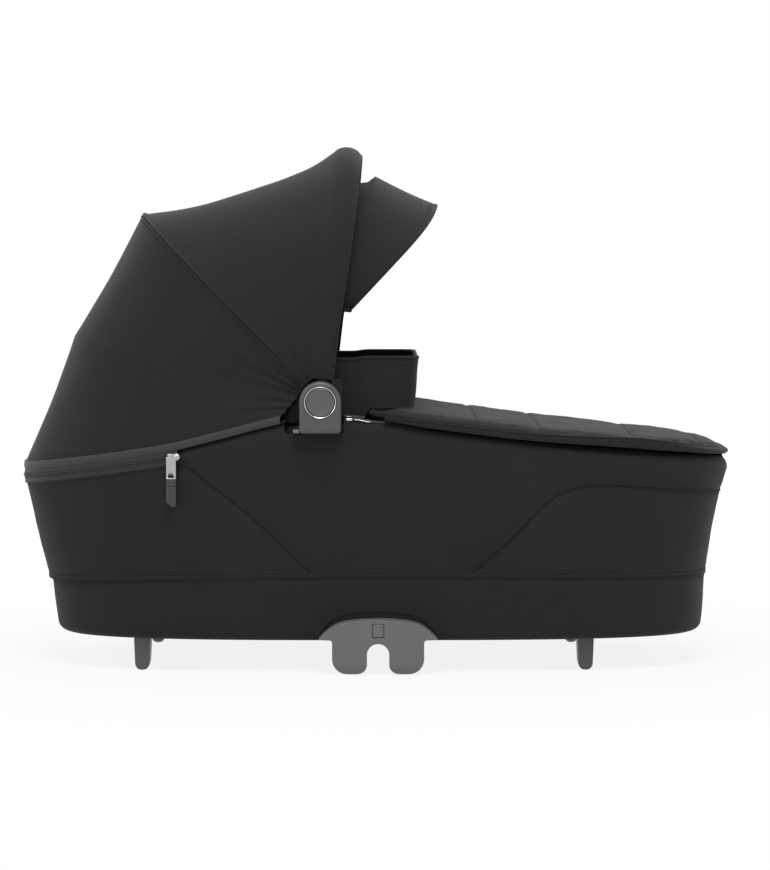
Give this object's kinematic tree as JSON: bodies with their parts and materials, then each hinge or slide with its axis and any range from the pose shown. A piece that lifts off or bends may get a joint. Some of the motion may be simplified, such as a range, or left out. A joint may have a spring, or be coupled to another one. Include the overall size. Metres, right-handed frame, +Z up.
{
  "type": "carrycot",
  "caption": "Fabric carrycot with a folding canopy on hinged bows, a sun visor, a padded apron with a wind flap, release buttons, chassis adapters and feet.",
  "frame": {"origin": "centre of the overall box, on the plane that the feet stand on", "axes": "+X along the cot towards the foot end, +Y to the baby's left, +Z up"},
  "size_m": [0.8612, 0.4536, 0.6282],
  "materials": {
    "black_fabric": "matt woven",
    "pale_fabric": "soft knitted",
    "grey_zip_tape": "woven tape with coil teeth",
    "grey_plastic": "satin moulded",
    "black_plastic": "matt moulded",
    "bright_metal": "polished plating",
    "satin_aluminium": "satin",
    "steel": "zinc plated"
  },
  "bodies": {
    "cot": {"adapter_left": "grey_plastic", "adapter_right": "grey_plastic", "adapter_screw_back_left": "steel", "adapter_screw_back_right": "steel", "adapter_screw_front_left": "steel", "adapter_screw_front_right": "steel", "apron_zip_slider_left": "satin_aluminium", "apron_zip_slider_right": "satin_aluminium", "base_tray": "black_plastic", "body_cover": "black_fabric", "button_ring_left": "bright_metal", "button_ring_right": "bright_metal", "button_spring_left": "steel", "button_spring_right": "steel", "canopy_rear_panel": "black_fabric", "canopy_zip_binding": "grey_zip_tape", "foot_end_left": "grey_plastic", "foot_end_right": "grey_plastic", "foot_head_left": "grey_plastic", "foot_head_right": "grey_plastic", "foot_screw_end_left": "steel", "foot_screw_end_right": "steel", "foot_screw_head_left": "steel", "foot_screw_head_right": "steel", "foot_stay": "steel", "head_stay": "steel", "head_zip_slider": "bright_metal", "head_zip_tape": "grey_zip_tape", "hinge_housing_left": "grey_plastic", "hinge_housing_right": "grey_plastic", "lining": "pale_fabric", "lower_band": "black_fabric", "mattress": "pale_fabric", "pivot_pin_left": "steel", "pivot_pin_right": "steel", "rim_tube_foot": "satin_aluminium", "rim_tube_head": "satin_aluminium", "side_post_left": "black_plastic", "side_post_right": "black_plastic", "wall_board": "black_plastic"},
    "rear_bow": {"rear_bow": "satin_aluminium", "canopy_mid_panel": "black_fabric"},
    "mid_bow": {"mid_bow": "satin_aluminium", "canopy_front_panel": "black_fabric"},
    "front_bow": {"front_bow": "satin_aluminium", "handle_pad": "black_fabric", "visor_arm_left": "black_plastic", "visor_arm_right": "black_plastic"},
    "visor": {"visor": "black_fabric"},
    "head_pull": {"head_zip_pull": "bright_metal", "head_pull_strap": "black_fabric"},
    "apron": {"apron_cover": "black_fabric"},
    "wind_flap": {"wind_flap": "black_fabric"},
    "apron_pull_left": {"apron_zip_pull_left": "bright_metal"},
    "button_left": {"button_left": "satin_aluminium"},
    "latch_left": {"latch_button_left": "grey_plastic"},
    "apron_pull_right": {"apron_zip_pull_right": "bright_metal"},
    "button_right": {"button_right": "satin_aluminium"},
    "latch_right": {"latch_button_right": "grey_plastic"}
  },
  "joints": [
    {"name": "rear_bow_fold", "type": "hinge", "parent": "cot", "child": "rear_bow", "pos_m": [-0.0651, 0, 0.3207], "axis": [0, -1, 0], "range_deg": [0, 19], "deforming": ["canopy_rear_panel", "canopy_mid_panel"]},
    {"name": "mid_bow_fold", "type": "hinge", "parent": "rear_bow", "child": "mid_bow", "pos_m": [-0.0651, 0, 0.3207], "axis": [0, -1, 0], "range_deg": [0, 23], "deforming": ["canopy_mid_panel", "canopy_front_panel"]},
    {"name": "canopy_fold", "type": "hinge", "parent": "mid_bow", "child": "front_bow", "pos_m": [-0.0651, 0, 0.3207], "axis": [0, -1, 0], "range_deg": [0, 39], "deforming": ["canopy_front_panel"]},
    {"name": "visor_fold", "type": "hinge", "parent": "front_bow", "child": "visor", "pos_m": [-0.0305, 0, 0.4278], "axis": [0, 1, 0], "range_deg": [-75, 0]},
    {"name": "apron_fold", "type": "hinge", "parent": "cot", "child": "apron", "pos_m": [0.431, 0, 0.251], "axis": [0, 1, 0], "range_deg": [0, 110]},
    {"name": "wind_flap_fold", "type": "hinge", "parent": "apron", "child": "wind_flap", "pos_m": [0.0475, 0, 0.31234], "axis": [0, 1, 0], "range_deg": [0, 90]},
    {"name": "head_pull_swing", "type": "hinge", "parent": "cot", "child": "head_pull", "pos_m": [-0.24021, -0.20079, 0.25471], "axis": [-0.9816, 0.1912, 0], "range_deg": [0, 160]},
    {"name": "apron_pull_swing_left", "type": "hinge", "parent": "cot", "child": "apron_pull_left", "pos_m": [-0.0264, 0.1941, 0.30275], "axis": [0, -1, 0], "range_deg": [0, 95]},
    {"name": "button_press_left", "type": "slide", "parent": "cot", "child": "button_left", "axis": [0, -1, 0], "range_m": [0, 0.004], "stiffness_N_per_m": 400, "springref_m": -0.003, "deforming": ["button_spring_left"]},
    {"name": "latch_press_left", "type": "slide", "parent": "cot", "child": "latch_left", "axis": [0, -1, 0], "range_m": [0, 0.003], "stiffness_N_per_m": 300, "springref_m": -0.002},
    {"name": "apron_pull_swing_right", "type": "hinge", "parent": "cot", "child": "apron_pull_right", "pos_m": [-0.0264, -0.1941, 0.30275], "axis": [0, -1, 0], "range_deg": [0, 95]},
    {"name": "button_press_right", "type": "slide", "parent": "cot", "child": "button_right", "axis": [0, 1, 0], "range_m": [0, 0.004], "stiffness_N_per_m": 400, "springref_m": -0.003, "deforming": ["button_spring_right"]},
    {"name": "latch_press_right", "type": "slide", "parent": "cot", "child": "latch_right", "axis": [0, 1, 0], "range_m": [0, 0.003], "stiffness_N_per_m": 300, "springref_m": -0.002}
  ],
  "couplings": [
    {"joint": "mid_bow_fold", "follows": "canopy_fold", "ratio": 0.58974},
    {"joint": "rear_bow_fold", "follows": "canopy_fold", "ratio": 0.48718}
  ]
}
